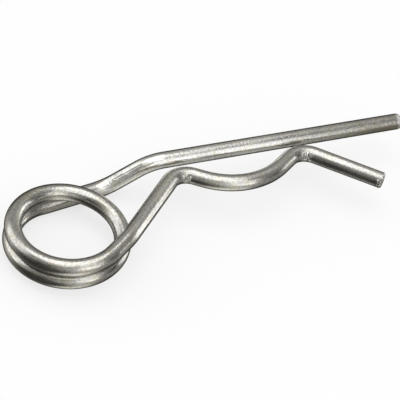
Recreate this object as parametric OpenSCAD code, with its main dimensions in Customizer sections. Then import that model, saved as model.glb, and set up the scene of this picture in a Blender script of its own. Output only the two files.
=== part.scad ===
// Double-coil spring clip pin, bent from one round wire.
// Millimetres, +Z up. The origin lies on the straight leg's axis, in the middle of the shaft seat.
// +X runs along the straight leg to its tip. The coil's axis and the shaft's axis are parallel to Z.
// Both legs lie in the plane z = 0, level with the coil's top turn, so the straight leg, which leaves
// the bottom turn, is stepped up behind the coil.

/* [Wire] */
// Wire diameter; every other size is scaled from it
wire_d = 4; // [3:0.25:4.5]
// Radius of the straight leg's rounded tip
tip_round = 1; // [0.4:0.1:1.4]
// Chamfer on the cut end of the tail
tail_chamfer = 0.4; // [0.2:0.1:0.8]

/* [Coil] */
// Clear diameter of the eye
coil_inner_d = 21.2; // [18:0.2:24]
// Turning of the wire round the coil, in degrees
coil_turning = 566; // [540:2:590]
// Clear gap between the two turns
turn_gap = 0.16; // [0.14:0.02:0.6]
// From the seat's middle back to the coil's axis, along the straight leg
coil_to_seat = 45.7; // [43:0.1:60]
// From the straight leg's axis across to the coil's axis
coil_offset = 14.3; // [13:0.1:16]
// Where the straight leg leaves the coil, in degrees round the coil's axis from +X
leg_exit_angle = 98.5; // [92:0.5:104]

/* [Straight leg] */
// From the seat's middle to the tip
seat_to_tip = 46; // [36:1:70]
// Level run from the coil to the first bend of the step
step_run = 15.4; // [13:0.1:16.5]
// Bend radius at the foot of the step, to the wire's axis
step_foot_radius = 9.5; // [5:0.5:12]
// From the seat's middle back to the top corner of the step
step_to_seat = 20.6; // [18:0.1:22]
// Bend radius at the top of the step, to the wire's axis
step_top_radius = 11; // [5:0.5:12]

/* [Gripping leg] */
// Straight run off the coil, still on the coil's slope
run_lead = 5.5; // [4:0.5:9]
// Radius of the easy bend that sets the run at the first crest
run_radius = 16; // [8:1:30]
// From the seat's middle back to the first crest
first_crest_x = 15; // [13:0.5:17]
// Clear gap between the first crest and the straight leg
first_crest_gap = 1.7; // [0.8:0.1:3]
// Bend radius of the first crest, to the wire's axis
first_crest_radius = 5.1; // [3.5:0.1:6]
// Radius of the largest shaft that the seat takes, with the straight leg through its middle
seat_radius = 9.1; // [7:0.1:10]
// Bend radius of the belly under the seat, to the wire's axis
belly_radius = 18; // [14:0.5:20]
// From the seat's middle forward to the second crest
second_crest_x = 16; // [14.5:0.5:19]
// Clear gap between the second crest and the straight leg
second_crest_gap = 1.2; // [0.8:0.1:3]
// Bend radius of the second crest, to the wire's axis
second_crest_radius = 5.5; // [3.5:0.1:6.5]
// Angle of the tail away from the straight leg
tail_angle = 42; // [25:1:60]
// Straight length of the tail, from the second crest's bend to the cut end
tail_length = 17.4; // [6:0.2:25]

/* [Hidden] */
$fn = 96;
wire_r = wire_d / 2;
steel = [0.63, 0.62, 0.6];
// A bend smaller than this is drawn as no bend at all
least_bend = 0.01;
// Bends are thicker than straights by this hair, and straights run this far into them, so that all
// the pieces of the wire fuse into one solid
seam_step = 0.004;
seam_depth = 0.04;
bend_wire_r = wire_r + seam_step;

// Coil: a chain of equal flat arcs, each tilted to the slope and tangent to the next one
coil_r = (coil_inner_d + wire_d) / 2;
coil_arcs = 23;
// Half the angle that one arc spans round the coil's axis
half_span = coil_turning / coil_arcs / 2;
arc_rise_wanted = (wire_d + turn_gap) * 2 * half_span / 360;
arc_tilt = asin(arc_rise_wanted / (2 * coil_r * sin(half_span)));
half_arc = atan(tan(half_span) * cos(arc_tilt));
arc_r = coil_r / (1 - cos(half_arc) * pow(sin(arc_tilt), 2));
arc_rise = 2 * arc_r * sin(half_arc) * sin(arc_tilt);
// Radius and slope of the wire's axis where two arcs meet
joint_r = (coil_r - arc_r * (1 - cos(half_arc))) / cos(half_span);
joint_slope = asin(cos(half_arc) * sin(arc_tilt));
coil_axis = [-coil_to_seat, -coil_offset];
run_exit_angle = leg_exit_angle + coil_turning;
coil_top = -run_lead * sin(joint_slope);
coil_bottom = coil_top - coil_arcs * arc_rise;

// Straight leg: out of the coil's bottom, levelled, stepped up, and on to the tip
exit_lead = 1.5;
exit_radius = 16;
leg_start = on_coil(leg_exit_angle, coil_bottom);
leg_out = -along_coil(leg_exit_angle);
leg_flat = [sin(leg_exit_angle), -cos(leg_exit_angle), 0];
leg_levelled = leg_start + exit_lead * leg_out;
step_foot = leg_levelled + step_run * leg_flat;
step_top = [-step_to_seat, 0, 0];
straight_points = [leg_start, leg_levelled, step_foot, step_top, [seat_to_tip, 0, 0]];
straight_radii = [0, exit_radius, step_foot_radius, step_top_radius, 0];

// Gripping leg: bend centres set by the gaps and the seat, joined by lines tangent to both bends
run_start = on_coil(run_exit_angle, coil_top);
run_set = run_start + run_lead * along_coil(run_exit_angle);
first_centre = [-first_crest_x, -wire_d - first_crest_gap - first_crest_radius];
belly_centre = [0, belly_radius - wire_r - seat_radius];
second_centre = [second_crest_x, -wire_d - second_crest_gap - second_crest_radius];
run_heading = heading(first_centre - flat(run_set)) + lean(first_centre - flat(run_set), first_crest_radius);
fall_heading = heading(belly_centre - first_centre)
    - lean(belly_centre - first_centre, first_crest_radius + belly_radius);
climb_heading = heading(second_centre - belly_centre)
    + lean(second_centre - belly_centre, second_crest_radius + belly_radius);
fall_point = first_centre + first_crest_radius * left_of(fall_heading);
climb_point = second_centre + second_crest_radius * left_of(climb_heading);
tail_point = second_centre + second_crest_radius * left_of(-tail_angle);
gripping_points = [
    run_start,
    run_set,
    level(meet(flat(run_set), run_heading, fall_point, fall_heading)),
    level(meet(fall_point, fall_heading, climb_point, climb_heading)),
    level(meet(climb_point, climb_heading, tail_point, -tail_angle)),
    level(tail_point + tail_length * toward(-tail_angle))
];
gripping_radii = [0, run_radius, first_crest_radius, belly_radius, second_crest_radius, 0];

// Plane geometry
function toward(angle) = [cos(angle), sin(angle)];
function left_of(angle) = [-sin(angle), cos(angle)];
function heading(v) = atan2(v[1], v[0]);
// Angle between the line to a circle's centre and the line that touches the circle
function lean(v, radius) = asin(min(1, radius / norm(v)));
function flat(p) = [p[0], p[1]];
function level(p) = [p[0], p[1], 0];
function turn_between(a, b) = a[0] * b[1] - a[1] * b[0];
// Crossing of the line through p at angle a with the line through q at angle b
function meet(p, a, q, b) =
    p + toward(a) * turn_between(q - p, toward(b)) / turn_between(toward(a), toward(b));

// Wire's axis on the coil, and its direction where two arcs meet, counter-clockwise and up
function on_coil(angle, z) =
    [coil_axis[0] + joint_r * cos(angle), coil_axis[1] + joint_r * sin(angle), z];
function along_coil(angle) =
    [-sin(angle) * cos(joint_slope), cos(angle) * cos(joint_slope), sin(joint_slope)];

// Directions, bend angles and set-backs along a wire that is given by its corners
function unit(v) = v / norm(v);
function side(points, i) = unit(points[i + 1] - points[i]);
function bend_angle(a, b) = atan2(norm(cross(a, b)), a * b);
function set_back(points, radii, i) =
    i == 0 || i == len(points) - 1 ? 0
    : radii[i] * tan(bend_angle(side(points, i - 1), side(points, i)) / 2);

// Puts its children at a point, with its own x, y and z along three unit vectors
module in_frame(x, y, z, origin) {
    multmatrix([
        [x[0], y[0], z[0], origin[0]],
        [x[1], y[1], z[1], origin[1]],
        [x[2], y[2], z[2], origin[2]],
        [0, 0, 0, 1]
    ])
        children();
}

// Puts its children at a point, with z along a direction
module along(direction, origin) {
    across = unit(cross(abs(direction[2]) < 0.9 ? [0, 0, 1] : [1, 0, 0], direction));
    in_frame(across, cross(direction, across), direction, origin)
        children();
}

// Straight wire between corner i and the next corner, less the bends' set-backs
module straight(points, radii, i) {
    from = set_back(points, radii, i) - seam_depth;
    length = norm(points[i + 1] - points[i]) - from - set_back(points, radii, i + 1) + seam_depth;
    along(side(points, i), points[i] + from * side(points, i))
        cylinder(r = wire_r, h = length);
}

// The last straight, turned from a half profile whose outer end corner its children take away
module end_straight(points, radii) {
    i = len(points) - 2;
    from = set_back(points, radii, i) - seam_depth;
    length = norm(points[i + 1] - points[i]) - from;
    along(side(points, i), points[i] + from * side(points, i))
        rotate_extrude()
            difference() {
                square([wire_r, length]);
                translate([wire_r, length])
                    children();
            }
}

// Bent wire round corner i
module bend(points, radii, i) {
    a = side(points, i - 1);
    b = side(points, i);
    inward = unit(b - a * (a * b));
    centre = points[i] - a * set_back(points, radii, i) + inward * radii[i];
    if (bend_angle(a, b) > least_bend)
        in_frame(-inward, a, cross(a, inward), centre)
            rotate_extrude(angle = bend_angle(a, b))
                translate([radii[i], 0])
                    circle(r = bend_wire_r);
}

// A leg, from the coil to its end; the children shape the end
module leg(points, radii) {
    for (i = [0 : len(points) - 3])
        straight(points, radii, i);
    for (i = [1 : len(points) - 2])
        bend(points, radii, i);
    end_straight(points, radii)
        children();
}

// Every second arc, from the first to the last, is a thick one, and the thin ones run into them
module coil_arc(i) {
    thin = i % 2 == 1;
    overlap = thin ? seam_depth / arc_r * 180 / PI : 0;
    translate([coil_axis[0], coil_axis[1], coil_bottom + (i + 0.5) * arc_rise])
        rotate([0, 0, leg_exit_angle + (2 * i + 1) * half_span])
            translate([coil_r, 0, 0])
                rotate([arc_tilt, 0, 0])
                    translate([-arc_r, 0, 0])
                        rotate([0, 0, -half_arc - overlap])
                            rotate_extrude(angle = 2 * (half_arc + overlap))
                                translate([arc_r, 0])
                                    circle(r = thin ? wire_r : bend_wire_r);
}

module coil() {
    for (i = [0 : coil_arcs - 1])
        coil_arc(i);
}

// What rounding takes off a square corner at the origin
module rounded_corner(radius) {
    difference() {
        translate([-radius, -radius])
            square(2 * radius);
        translate([-radius, -radius])
            circle(r = radius);
    }
}

// What a chamfer takes off a square corner at the origin
module chamfered_corner(width) {
    polygon([[-width, 0], [0, -width], [width, width]]);
}

module clip() {
    color(steel) {
        coil();
        leg(straight_points, straight_radii)
            rounded_corner(tip_round);
        leg(gripping_points, gripping_radii)
            chamfered_corner(tail_chamfer);
    }
}

clip();
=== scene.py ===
import math

import bmesh
import bpy
import numpy as np
from mathutils import Matrix, Vector


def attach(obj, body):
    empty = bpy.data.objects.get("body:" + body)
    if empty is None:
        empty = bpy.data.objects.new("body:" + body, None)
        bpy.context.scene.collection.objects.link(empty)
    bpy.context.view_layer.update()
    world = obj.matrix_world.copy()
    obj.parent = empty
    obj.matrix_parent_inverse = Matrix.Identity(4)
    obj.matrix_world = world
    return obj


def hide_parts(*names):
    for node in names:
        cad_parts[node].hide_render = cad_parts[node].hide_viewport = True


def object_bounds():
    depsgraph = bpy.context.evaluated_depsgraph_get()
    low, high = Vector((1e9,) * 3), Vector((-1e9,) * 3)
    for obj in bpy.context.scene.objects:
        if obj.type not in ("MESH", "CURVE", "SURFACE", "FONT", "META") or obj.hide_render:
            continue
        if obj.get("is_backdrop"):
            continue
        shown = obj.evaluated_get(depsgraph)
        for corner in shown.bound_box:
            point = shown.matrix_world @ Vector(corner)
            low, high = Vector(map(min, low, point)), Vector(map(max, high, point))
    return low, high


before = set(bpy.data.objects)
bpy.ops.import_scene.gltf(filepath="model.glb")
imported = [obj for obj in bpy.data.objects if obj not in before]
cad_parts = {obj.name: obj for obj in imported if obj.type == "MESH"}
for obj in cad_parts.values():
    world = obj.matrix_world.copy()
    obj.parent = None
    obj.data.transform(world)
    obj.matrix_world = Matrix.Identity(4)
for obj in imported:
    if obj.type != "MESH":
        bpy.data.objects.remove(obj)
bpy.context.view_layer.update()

# Sizes in millimetres and degrees, as in the part's source.
WIRE_R = 2.0
TIP_ROUND = 1.0
TAIL_CHAMFER = 0.4
COIL_R = 12.6
COIL_AXIS = (-45.7, -14.3)
COIL_TURNING = 566.0
PITCH = 4.16
LEG_EXIT_ANGLE = 98.5
RUN_LEAD = 5.5
EXIT_LEAD = 1.5
STEP_RUN = 15.4
STEP_TOP_X = -20.6
STRAIGHT_TIP_X = 46.0
STRAIGHT_BENDS = (16.0, 9.5, 11.0)
FIRST_CREST = (-15.0, 1.7, 5.1)     # x, gap to the straight leg, bend radius
SECOND_CREST = (16.0, 1.2, 5.5)
BELLY_RADIUS = 18.0
SEAT_RADIUS = 9.1
RUN_BEND = 16.0
TAIL_ANGLE = -42.0
TAIL_LENGTH = 17.4
MM = 0.001

# The mesh.
RING_STEP = 0.4                     # spacing of the rings that the wire is swept from
RING_POINTS = 64
TIP_CLEAR = 0.2                     # from the rings of the rounded tip to the next one
TAIL_CLEAR = 0.3
BROKEN_EDGE = 0.06                  # on the tail's cut
UNEVEN_SHARES = (0.0, 0.5, 1.0, 1.0)    # of the uneven cut, on the last rings

# Marks, by their place along the wire from the straight leg's tip. A side is an angle round it.
PIN_MARKS = (252.0, 285.7)
PIN_SIDE = -80.0
PIN_REACH = 1.4
PIN_DEPTH = 0.07
TAIL_LIP = 305.6
LIP_SIDE = -60.0
RUB_MARK = 72.2
RUB_SIDE = 67.0
SCUFF_HIGHLIGHT_MARK = 75.2
SCUFF_HIGHLIGHT_SIDE = 168.5
SHADED_UNDER_SIDE = 70.0                   # lower side of the straight leg, where painted shade is strongest

# The metal.
CLEAN_METAL = (0.735, 0.725, 0.70, 1)
DULL_METAL = (0.465, 0.45, 0.408, 1)
MOST_DULL = 1.6                     # how far past the dull colour the darkest specks go
WARM_TINT = (1.015, 1.0, 0.95, 1)
COOL_TINT = (0.985, 1.0, 1.035, 1)
BUMP_HEIGHT = 0.025                 # mm

# The studio, in metres and degrees. Azimuth 0 is +Y and 90 is +X.
TARGET = Vector((-0.0107, -0.0095, -0.0046))
CAMERA_PLACE = (-0.179518, -0.283103, 0.312019)
CAMERA_TURN = -31.669
CAMERA_DOWN = 44.636
CAMERA_ROLL = 13.453
CAMERA_LENS = 173.15                # mm, on a sensor 36 mm wide
# azimuth, elevation and distance from the clip, width, height, spin, radiance
SOFTBOXES = {
    "overhead": (-49, 87.2, 1.19, 1.05, 1.55, -48, 1.07),
    "front": (164, 30, 0.95, 0.57, 0.90, -12, 0.82),
    "back_left": (-52, 26, 2.40, 1.95, 2.45, 18, 0.72),
    "back_right": (87.7, 5.3, 2.20, 1.48, 1.68, 26, 1.17),
}
WORLD_LIGHT = 0.75
FLOOR_COLOUR = (0.95, 0.95, 0.95, 1)
FLOOR_WHITE = 0.7                   # share of plain white in what the camera sees of the floor
FLOOR_HALF = 3.0
SURROUND_RADIUS = 6.0
SURROUND_COLOUR = (1.0, 0.985, 0.92, 1)
SURROUND_GREY = 0.60
SURROUND_DARK = 0.04
# azimuth, elevation, inner and outer edge in degrees from there, gain
SURROUND_PATCHES = (
    (-117, -24, 26, 65, -0.55),
    (-120, 50, 10, 45, -0.33),
    (120, 45, 10, 50, -0.38),
    (110, -20, 20, 60, -0.34),
    (32, -45, 25, 75, -0.54),
    (10, 25, 20, 50, -0.25),
    (70, -20, 15, 50, 0.29),
    (182, -56, 6, 28, 0.52),
)


# The wire's centre line.
def unit(v):
    return v / np.linalg.norm(v)


def toward(angle):
    return np.array([math.cos(angle), math.sin(angle)])


def left_of(angle):
    return np.array([-math.sin(angle), math.cos(angle)])


def heading(v):
    return math.atan2(v[1], v[0])


def lean(v, radius):
    return math.asin(min(1.0, radius / np.linalg.norm(v)))


def meet(p, a, q, b):
    """Crossing of the line through p at angle a with the line through q at angle b."""
    share = np.linalg.solve(np.column_stack([toward(a), -toward(b)]), q - p)[0]
    return p + share * toward(a)


def level(p):
    return np.array([p[0], p[1], 0.0])


def straight(a, b):
    count = max(1, round(np.linalg.norm(b - a) / RING_STEP))
    return [a + (b - a) * t for t in np.linspace(0, 1, count, endpoint=False)]


def filleted(corners, radii):
    """Points along a run of straights joined by bends of the given radii."""
    points = []
    start = corners[0]
    for i, radius in enumerate(radii, 1):
        a = unit(corners[i] - corners[i - 1])
        b = unit(corners[i + 1] - corners[i])
        turn = math.acos(float(np.clip(a @ b, -1, 1)))
        set_back = radius * math.tan(turn / 2)
        bend_start = corners[i] - a * set_back
        centre = corners[i] + unit(b - a) * radius / math.cos(turn / 2)
        points += straight(start, bend_start)
        out = unit(bend_start - centre)
        count = max(3, round(radius * turn / RING_STEP))
        for t in np.linspace(0, turn, count, endpoint=False):
            points.append(centre + radius * (out * math.cos(t) + a * math.sin(t)))
        start = corners[i] + b * set_back
    return points + straight(start, corners[-1]) + [corners[-1]]


def wire_axis():
    """The whole axis, from the straight leg's tip through the coil to the tail's cut end."""
    slope = math.atan(PITCH / (2 * math.pi * COIL_R))
    leg_angle = math.radians(LEG_EXIT_ANGLE)
    run_angle = math.radians(LEG_EXIT_ANGLE + COIL_TURNING)
    top = -RUN_LEAD * math.sin(slope)
    bottom = top - PITCH * COIL_TURNING / 360
    middle = np.array(COIL_AXIS)

    leg_start = np.append(middle + COIL_R * toward(leg_angle), bottom)
    leg_out = -np.append(left_of(leg_angle) * math.cos(slope), math.sin(slope))
    levelled = leg_start + EXIT_LEAD * leg_out
    foot = levelled - STEP_RUN * level(left_of(leg_angle))
    step_top = np.array([STEP_TOP_X, 0.0, 0.0])
    tip = np.array([STRAIGHT_TIP_X, 0.0, 0.0])
    straight_leg = filleted([leg_start, levelled, foot, step_top, tip], STRAIGHT_BENDS)

    turns = round(COIL_R * math.radians(COIL_TURNING) / RING_STEP)
    coil = [
        np.append(middle + COIL_R * toward(t), bottom + PITCH * (t - leg_angle) / (2 * math.pi))
        for t in np.linspace(leg_angle, run_angle, turns, endpoint=False)
    ]

    run_out = np.append(left_of(run_angle) * math.cos(slope), math.sin(slope))
    run_start = np.append(middle + COIL_R * toward(run_angle), top)
    run_set = run_start + RUN_LEAD * run_out
    first = np.array([FIRST_CREST[0], -2 * WIRE_R - FIRST_CREST[1] - FIRST_CREST[2]])
    second = np.array([SECOND_CREST[0], -2 * WIRE_R - SECOND_CREST[1] - SECOND_CREST[2]])
    belly = np.array([0.0, BELLY_RADIUS - WIRE_R - SEAT_RADIUS])
    rise = heading(first - run_set[:2]) + lean(first - run_set[:2], FIRST_CREST[2])
    fall = heading(belly - first) - lean(belly - first, FIRST_CREST[2] + BELLY_RADIUS)
    climb = heading(second - belly) + lean(second - belly, SECOND_CREST[2] + BELLY_RADIUS)
    tail = math.radians(TAIL_ANGLE)
    fall_point = first + FIRST_CREST[2] * left_of(fall)
    climb_point = second + SECOND_CREST[2] * left_of(climb)
    tail_point = second + SECOND_CREST[2] * left_of(tail)
    gripping_leg = filleted(
        [
            run_start,
            run_set,
            level(meet(run_set[:2], rise, fall_point, fall)),
            level(meet(fall_point, fall, climb_point, climb)),
            level(meet(climb_point, climb, tail_point, tail)),
            level(tail_point + TAIL_LENGTH * toward(tail)),
        ],
        (RUN_BEND, FIRST_CREST[2], BELLY_RADIUS, SECOND_CREST[2]),
    )
    return np.array(straight_leg[::-1][:-1] + coil + gripping_leg)


# The wire's mesh.
def rounded_end(size):
    """Set-back from the end and radius of each ring of a rounded end."""
    angles = np.radians(np.linspace(0, 90, 13))
    return [(size * (1 - math.sin(t)), WIRE_R - size * (1 - math.cos(t))) for t in angles]


def cut_end(size):
    """The same for a cut end with a small chamfer, its edges broken by a hair."""
    return [
        (size + BROKEN_EDGE, WIRE_R),
        (size - BROKEN_EDGE * 0.4, WIRE_R - BROKEN_EDGE * 0.6),
        (BROKEN_EDGE * 0.6, WIRE_R - size + BROKEN_EDGE * 0.4),
        (0.0, WIRE_R - size - BROKEN_EDGE),
    ]


def wire_rings(lengths):
    """Place along the wire and radius of every ring, from the tip to the tail's end."""
    total = lengths[-1]
    first, last = TIP_ROUND + TIP_CLEAR, total - TAIL_CHAMFER - TAIL_CLEAR
    body = [(s, WIRE_R) for s in lengths if first < s < last]
    tail = [(total - s, r) for s, r in cut_end(TAIL_CHAMFER)]
    return np.array(sorted(rounded_end(TIP_ROUND)) + body + tail).T


def dents(along, phi):
    """Depth to which the bending pins flattened the wire."""
    side = np.clip(np.cos(phi - math.radians(PIN_SIDE)), 0, 1) ** 8
    depth = np.zeros((len(along), len(phi)))
    for middle in PIN_MARKS:
        reach = np.clip(1 - ((along - middle) / PIN_REACH) ** 2, 0, 1)
        depth += PIN_DEPTH * reach[:, None] ** 2 * side
    return depth


def uneven_cut(phi):
    """How far the shears left the tail's edge short, round the wire."""
    return 0.03 * (1 + np.sin(3 * phi + 1)) + 0.02 * (1 + np.sin(8 * phi + 2))


def untwisted(tangents):
    """Two directions across the wire at each ring, carried along it without twist."""
    across = [unit(np.cross(tangents[0], [0.0, 1.0, 0.0]))]
    for t in tangents[1:]:
        across.append(unit(across[-1] - t * (across[-1] @ t)))
    return np.array(across), np.cross(tangents, across)


def tube_faces(rings):
    """Quads between the rings, and fans from the two end points, which come after all the rings."""
    tip = rings * RING_POINTS
    base = tip - RING_POINTS
    pairs = [(j, (j + 1) % RING_POINTS) for j in range(RING_POINTS)]
    faces = []
    for here in range(0, base, RING_POINTS):
        ahead = here + RING_POINTS
        faces += [(here + j, here + k, ahead + k, ahead + j) for j, k in pairs]
    for j, k in pairs:
        faces += [(tip, k, j), (tip + 1, base + j, base + k)]
    return faces


def smooth(mesh):
    mesh.polygons.foreach_set("use_smooth", [True] * len(mesh.polygons))


def sweep():
    """The wire, with each point's place along and across it kept as the attribute drawn."""
    axis = wire_axis()
    lengths = np.append(0, np.cumsum(np.linalg.norm(np.diff(axis, axis=0), axis=1)))
    along, radius = wire_rings(lengths)
    slopes = np.gradient(axis, lengths, axis=0)
    centres = np.column_stack([np.interp(along, lengths, axis[:, k]) for k in range(3)])
    tangents = np.column_stack([np.interp(along, lengths, slopes[:, k]) for k in range(3)])
    tangents /= np.linalg.norm(tangents, axis=1)[:, None]
    across, other = untwisted(tangents)

    phi = np.linspace(0, 2 * math.pi, RING_POINTS, endpoint=False)
    around = phi[None, :, None]
    spokes = across[:, None] * np.cos(around) + other[:, None] * np.sin(around)
    points = centres[:, None] + spokes * (radius[:, None] - dents(along, phi))[:, :, None]
    last = slice(-len(UNEVEN_SHARES), None)
    short = np.array(UNEVEN_SHARES)[:, None] * uneven_cut(phi)
    points[last] -= tangents[last, None] * short[:, :, None]

    drawn = np.empty_like(points)
    drawn[:, :, 0] = along[:, None]
    drawn[:, :, 1] = WIRE_R * np.cos(phi)
    drawn[:, :, 2] = WIRE_R * np.sin(phi)
    drawn = np.vstack([drawn.reshape(-1, 3), [[along[0], 0, 0]], [[along[-1], 0, 0]]])
    vertices = np.vstack([points.reshape(-1, 3), centres[:1], centres[-1:]]) * MM

    mesh = bpy.data.meshes.new("wire")
    mesh.from_pydata(vertices.tolist(), [], tube_faces(len(along)))
    attribute = mesh.attributes.new("drawn", "FLOAT_VECTOR", "POINT")
    attribute.data.foreach_set("vector", drawn.astype(np.float32).ravel())
    smooth(mesh)
    mesh.update()
    return mesh


# The materials.
class Tree:
    """Short ways to add and join the nodes of one material or world."""

    def __init__(self, node_tree):
        self.nodes = node_tree.nodes
        self.links = node_tree.links
        self.nodes.clear()

    def add(self, kind, **settings):
        node = self.nodes.new("ShaderNode" + kind)
        for key, value in settings.items():
            setattr(node, key, value)
        return node

    def feed(self, socket, value):
        if isinstance(value, bpy.types.NodeSocket):
            self.links.new(value, socket)
        else:
            socket.default_value = value

    def output(self, shader):
        self.feed(self.add("OutputMaterial").inputs["Surface"], shader)

    def fold(self, operation, *values):
        """The values joined by one operation, from the first to the last."""
        result = values[0]
        for value in values[1:]:
            node = self.add("Math", operation=operation)
            self.feed(node.inputs[0], result)
            self.feed(node.inputs[1], value)
            result = node.outputs[0]
        return result

    def plus(self, *values):
        return self.fold("ADD", *values)

    def minus(self, *values):
        return self.fold("SUBTRACT", *values)

    def times(self, *values):
        return self.fold("MULTIPLY", *values)

    def highest(self, *values):
        return self.fold("MAXIMUM", *values)

    def size(self, value):
        node = self.add("Math", operation="ABSOLUTE")
        self.feed(node.inputs[0], value)
        return node.outputs[0]

    def dot(self, vector, axis):
        node = self.add("VectorMath", operation="DOT_PRODUCT")
        self.feed(node.inputs[0], vector)
        node.inputs[1].default_value = axis
        return node.outputs["Value"]

    def noise(self, place, stretch, detail=2.0, roughness=0.5, distortion=0.0):
        """Noise from 0 to 1, with its period along each axis of place divided by stretch."""
        scaled = self.add("VectorMath", operation="MULTIPLY")
        self.feed(scaled.inputs[0], place)
        scaled.inputs[1].default_value = stretch
        node = self.add("TexNoise")
        node.inputs["Scale"].default_value = 1.0
        node.inputs["Detail"].default_value = detail
        node.inputs["Roughness"].default_value = roughness
        node.inputs["Distortion"].default_value = distortion
        self.feed(node.inputs["Vector"], scaled.outputs[0])
        return node.outputs["Fac"]

    def ramp(self, value, low, high, start, end):
        """value from low to high turned smoothly into start to end."""
        node = self.add("MapRange", interpolation_type="SMOOTHSTEP")
        self.feed(node.inputs["Value"], value)
        node.inputs["From Min"].default_value = low
        node.inputs["From Max"].default_value = high
        node.inputs["To Min"].default_value = start
        node.inputs["To Max"].default_value = end
        return node.outputs[0]

    def near(self, value, middle, inner, outer):
        """1 up to inner from the middle, 0 beyond outer."""
        return self.ramp(self.size(self.minus(value, middle)), inner, outer, 1.0, 0.0)

    def span(self, value, rise, fall):
        """1 between two places. rise and fall each hold where the change begins and ends."""
        return self.times(self.ramp(value, *rise, 0.0, 1.0), self.ramp(value, *fall, 1.0, 0.0))

    def mix(self, factor, a, b, **settings):
        node = self.add("Mix", data_type="RGBA", **settings)
        self.feed(node.inputs["Factor"], factor)
        self.feed(node.inputs["A"], a)
        self.feed(node.inputs["B"], b)
        return node.outputs["Result"]


def new_material(name):
    material = bpy.data.materials.new(name)
    material.use_nodes = True
    return material, Tree(material.node_tree)


def toward_side(tree, drawn, side):
    """How far the surface lies out toward a side of the wire, in mm, up to the wire's radius."""
    angle = math.radians(side)
    return tree.dot(drawn, (0.0, math.cos(angle), math.sin(angle)))


def tool_marks(tree, drawn, along):
    """Where tools bruised, sheared, rubbed and scuffed the wire, each from 0 to 1. The scuff also
    carries a painted highlight.
    """
    # The bending pins bruised the inner sides of the crests.
    pin_side = tree.ramp(toward_side(tree, drawn, PIN_SIDE), 1.50, 1.68, 0.0, 1.0)
    bands = [tree.near(along, middle, 0.85, 1.2) for middle in PIN_MARKS]
    bruised = tree.times(tree.plus(*bands), pin_side)
    # The shears left a ragged lip round the tail's end, wider on its inner side.
    wider = tree.ramp(toward_side(tree, drawn, LIP_SIDE), 0.8, 1.7, 0.0, 1.0)
    ragged = tree.ramp(tree.plus(along, wider), TAIL_LIP - 0.5, TAIL_LIP, 0.0, 1.0)
    # A rubbed line runs along the straight leg's first bend.
    rub_line = tree.near(toward_side(tree, drawn, RUB_SIDE), 0.0, 0.08, 0.22)
    rubbed = tree.times(tree.near(along, RUB_MARK, 2.5, 4.0), rub_line)
    # Behind that bend its upper side is scuffed, and lighter there as a painted highlight.
    scuff_highlight_side = tree.ramp(toward_side(tree, drawn, SCUFF_HIGHLIGHT_SIDE), 1.6, 1.85, 0.0, 1.0)
    scuff_and_highlight = tree.times(tree.near(along, SCUFF_HIGHLIGHT_MARK, 2.5, 5.0), scuff_highlight_side)
    return bruised, ragged, rubbed, scuff_and_highlight


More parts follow.
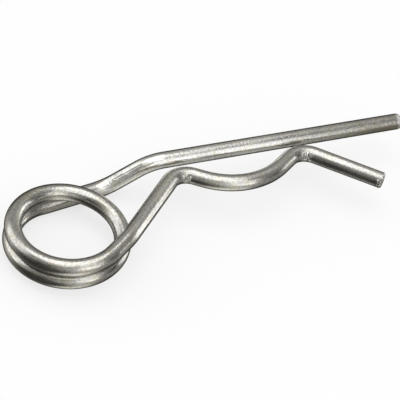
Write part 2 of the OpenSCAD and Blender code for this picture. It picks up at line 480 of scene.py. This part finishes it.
def wire_material():
    """Drawn and plated spring wire: lengthwise lines, fine grain, cloudy dulling, tool marks, with
    painted shade under the tip and painted highlights on the tip's rim and a scuff.
    """
    material, tree = new_material("drawn_steel")
    drawn = tree.add("Attribute", attribute_name="drawn").outputs["Vector"]
    place = tree.add("SeparateXYZ")
    tree.feed(place.inputs[0], drawn)
    along = place.outputs["X"]

    lines = tree.noise(drawn, (0.12, 1.7, 1.7), detail=3.0, roughness=0.6)
    grain = tree.noise(drawn, (1.7, 2.1, 2.1), detail=2.0, roughness=0.6)
    cloud = tree.noise(drawn, (0.16, 0.35, 0.35), detail=2.0)
    stain = tree.noise(drawn, (0.5, 0.6, 0.6), detail=3.0, roughness=0.6)
    pits = tree.noise(drawn, (1.4, 1.7, 1.7), detail=1.0, roughness=0.6, distortion=0.6)

    bruised, ragged, rubbed, scuff_and_highlight = tool_marks(tree, drawn, along)
    damaged = tree.highest(bruised, ragged)
    # The coil's colour is a little darker. The straight leg's colour is lighter from the coil to
    # its middle.
    dim_coil = tree.times(tree.span(along, (80.0, 95.0), (200.0, 225.0)), 0.22)
    bright = tree.times(tree.span(along, (20.0, 45.0), (72.0, 88.0)), 0.65)
    # Toward its tip the colour darkens, with painted shade most of all underneath, and the tip's
    # rim is matt with a painted highlight.
    underside_shade = tree.ramp(toward_side(tree, drawn, SHADED_UNDER_SIDE), 0.9, 1.7, 0.7, 2.0)
    tip_dark_and_under_shade = tree.times(tree.ramp(along, 0.0, 30.0, 0.8, 0.0), underside_shade)
    # painted highlight: the tip's rim is made paler, for the light its rounding catches
    matt_rim_highlight = tree.span(along, (0.45, 0.7), (1.1, 1.7))

    # grain, lines and tool marks darken the metal; the tip's underside adds painted shade, and the
    # rim and the scuff add painted highlights
    soil_and_painted_light = tree.plus(
        tree.ramp(grain, 0.38, 0.66, -0.12, 0.48),
        tree.ramp(lines, 0.40, 0.66, 0.0, 0.4),
        tree.times(damaged, tree.ramp(pits, 0.44, 0.56, -0.9, 1.2)),
        # the scuff is mostly lighter, a painted highlight among pits
        tree.times(scuff_and_highlight, tree.ramp(pits, 0.5, 0.65, -0.9, 0.4)),
        # painted shade: darker toward the tip and most of all on the underside
        tree.minus(tip_dark_and_under_shade, bright),
        dim_coil,
        # painted highlight on the tip's rim
        tree.times(matt_rim_highlight, -1.5),
    )
    soil_and_painted_light = tree.fold("MINIMUM", soil_and_painted_light, MOST_DULL)
    colour = tree.mix(soil_and_painted_light, CLEAN_METAL, DULL_METAL, clamp_factor=False)
    tint = tree.mix(tree.ramp(stain, 0.38, 0.62, 0.0, 1.0), WARM_TINT, COOL_TINT)

    worn = tree.plus(
        tree.ramp(cloud, 0.36, 0.64, 0.15, 0.22),
        tree.ramp(lines, 0.38, 0.66, 0.0, 0.08),
        tree.times(tip_dark_and_under_shade, 0.06),
        tree.times(matt_rim_highlight, 0.16),
        tree.times(scuff_and_highlight, 0.12),
    )

    pitted = tree.times(tree.highest(damaged, tree.times(scuff_and_highlight, 0.4)), tree.times(pits, 12.0))
    bump = tree.add("Bump")
    bump.inputs["Strength"].default_value = 1.0
    bump.inputs["Distance"].default_value = BUMP_HEIGHT * MM
    height = tree.plus(grain, tree.times(lines, 1.5), pitted, tree.times(rubbed, -3.0))
    tree.feed(bump.inputs["Height"], height)

    shader = tree.add("BsdfPrincipled")
    shader.inputs["Metallic"].default_value = 1.0
    tree.feed(shader.inputs["Base Color"], tree.mix(1.0, colour, tint, blend_type="MULTIPLY"))
    tree.feed(shader.inputs["Roughness"], worn)
    tree.feed(shader.inputs["Normal"], bump.outputs["Normal"])
    tree.output(shader.outputs[0])
    return material


# The studio.
def direction(azimuth, elevation):
    a, e = math.radians(azimuth), math.radians(elevation)
    return Vector((math.sin(a) * math.cos(e), math.cos(a) * math.cos(e), math.sin(e)))


def facing(away, spin):
    """Across, up and away axes of a panel that faces the clip, turned by spin in its plane."""
    across = Vector((0, 0, 1)).cross(away).normalized()
    up = away.cross(across)
    c, s = math.cos(math.radians(spin)), math.sin(math.radians(spin))
    return across * c + up * s, up * c - across * s, away


def placed(name, data):
    """A new object of the scene, turned by a quaternion."""
    made = bpy.data.objects.new(name, data)
    made.rotation_mode = "QUATERNION"
    bpy.context.scene.collection.objects.link(made)
    return made


def build_camera():
    camera = placed("camera", bpy.data.cameras.new("camera"))
    bpy.context.scene.camera = camera
    camera.data.sensor_width = 36.0
    camera.data.lens = CAMERA_LENS
    camera.data.clip_start = 0.01
    camera.data.clip_end = 20.0
    camera.location = CAMERA_PLACE
    camera.rotation_quaternion = (
        Matrix.Rotation(math.radians(CAMERA_TURN), 3, "Z")
        @ Matrix.Rotation(math.radians(90 - CAMERA_DOWN), 3, "X")
        @ Matrix.Rotation(math.radians(CAMERA_ROLL), 3, "Z")
    ).to_quaternion()


def softbox(name, azimuth, elevation, distance, width, height, spin, radiance):
    """A rectangular lamp that faces the clip."""
    light = bpy.data.lights.new(name, "AREA")
    light.shape = "RECTANGLE"
    light.size = width
    light.size_y = height
    light.energy = radiance * math.pi * width * height
    away = direction(azimuth, elevation)
    lamp = placed(name, light)
    lamp.location = TARGET + away * distance
    lamp.rotation_quaternion = Matrix(facing(away, spin)).transposed().to_quaternion()


def surround_material():
    """A light grey tent with dark cards and two light patches."""
    material, tree = new_material("surround")
    place = tree.add("TexCoord").outputs["Object"]
    brightness = SURROUND_GREY
    for azimuth, elevation, inner, outer, gain in SURROUND_PATCHES:
        edges = math.cos(math.radians(outer)), math.cos(math.radians(inner))
        toward_patch = tree.dot(place, direction(azimuth, elevation) / SURROUND_RADIUS)
        brightness = tree.plus(tree.ramp(toward_patch, *edges, 0.0, gain), brightness)
    emission = tree.add("Emission")
    emission.inputs["Color"].default_value = SURROUND_COLOUR
    tree.feed(emission.inputs["Strength"], tree.highest(brightness, SURROUND_DARK))
    tree.output(emission.outputs[0])
    material.cycles.emission_sampling = "NONE"
    return material


def build_surround():
    """The tent, seen only in the metal. There it hides the white world behind it."""
    mesh = bpy.data.meshes.new("surround")
    shape = bmesh.new()
    bmesh.ops.create_uvsphere(shape, u_segments=64, v_segments=32, radius=SURROUND_RADIUS)
    shape.to_mesh(mesh)
    shape.free()
    smooth(mesh)
    mesh.materials.append(surround_material())
    surround = placed("surround", mesh)
    surround.location = TARGET
    surround.visible_camera = False
    surround.visible_diffuse = False
    surround.visible_transmission = False
    surround.visible_shadow = False
    surround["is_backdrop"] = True


def seen_directly(tree):
    """1 for camera, glossy and transmission rays, 0 for the rays that only light."""
    rays = tree.add("LightPath").outputs
    return tree.highest(*(rays[f"Is {kind} Ray"] for kind in ("Camera", "Glossy", "Transmission")))


def floor_material():
    """Pale paper that keeps shadows, whitened where it is seen."""
    material, tree = new_material("paper")
    paper = tree.add("BsdfDiffuse")
    paper.inputs["Color"].default_value = FLOOR_COLOUR
    white = tree.add("Emission")
    mix = tree.add("MixShader")
    tree.feed(mix.inputs["Fac"], tree.times(seen_directly(tree), FLOOR_WHITE))
    tree.feed(mix.inputs[1], paper.outputs[0])
    tree.feed(mix.inputs[2], white.outputs[0])
    tree.output(mix.outputs[0])
    material.cycles.emission_sampling = "NONE"
    return material


def build_floor(height):
    half = FLOOR_HALF
    corners = [(-half, -half, 0), (half, -half, 0), (half, half, 0), (-half, half, 0)]
    mesh = bpy.data.meshes.new("floor")
    mesh.from_pydata(corners, [], [(0, 1, 2, 3)])
    mesh.materials.append(floor_material())
    floor = placed("floor", mesh)
    floor.location.z = height
    # The metal mirrors the tent and not the white floor, or its dark bands would be gone.
    floor.visible_glossy = False
    floor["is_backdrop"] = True


def build_world():
    """White where it is seen, dim where it only lights."""
    world = bpy.data.worlds.new("studio")
    bpy.context.scene.world = world
    world.use_nodes = True
    tree = Tree(world.node_tree)
    strength = tree.add("MapRange")
    tree.feed(strength.inputs["Value"], seen_directly(tree))
    strength.inputs["To Min"].default_value = WORLD_LIGHT
    strength.inputs["To Max"].default_value = 1.0
    background = tree.add("Background")
    tree.feed(background.inputs["Strength"], strength.outputs[0])
    tree.feed(tree.add("OutputWorld").inputs[0], background.outputs[0])
    world.cycles.sampling_method = "NONE"


# The build.
wire = bpy.data.objects.new("wire", sweep())
bpy.context.scene.collection.objects.link(wire)
wire.data.materials.append(wire_material())
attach(wire, "root")
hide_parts("clip")

build_camera()
for name, settings in SOFTBOXES.items():
    softbox(name, *settings)
build_surround()
build_world()
build_floor(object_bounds()[0].z)

bpy.context.scene.view_settings.view_transform = "Standard"
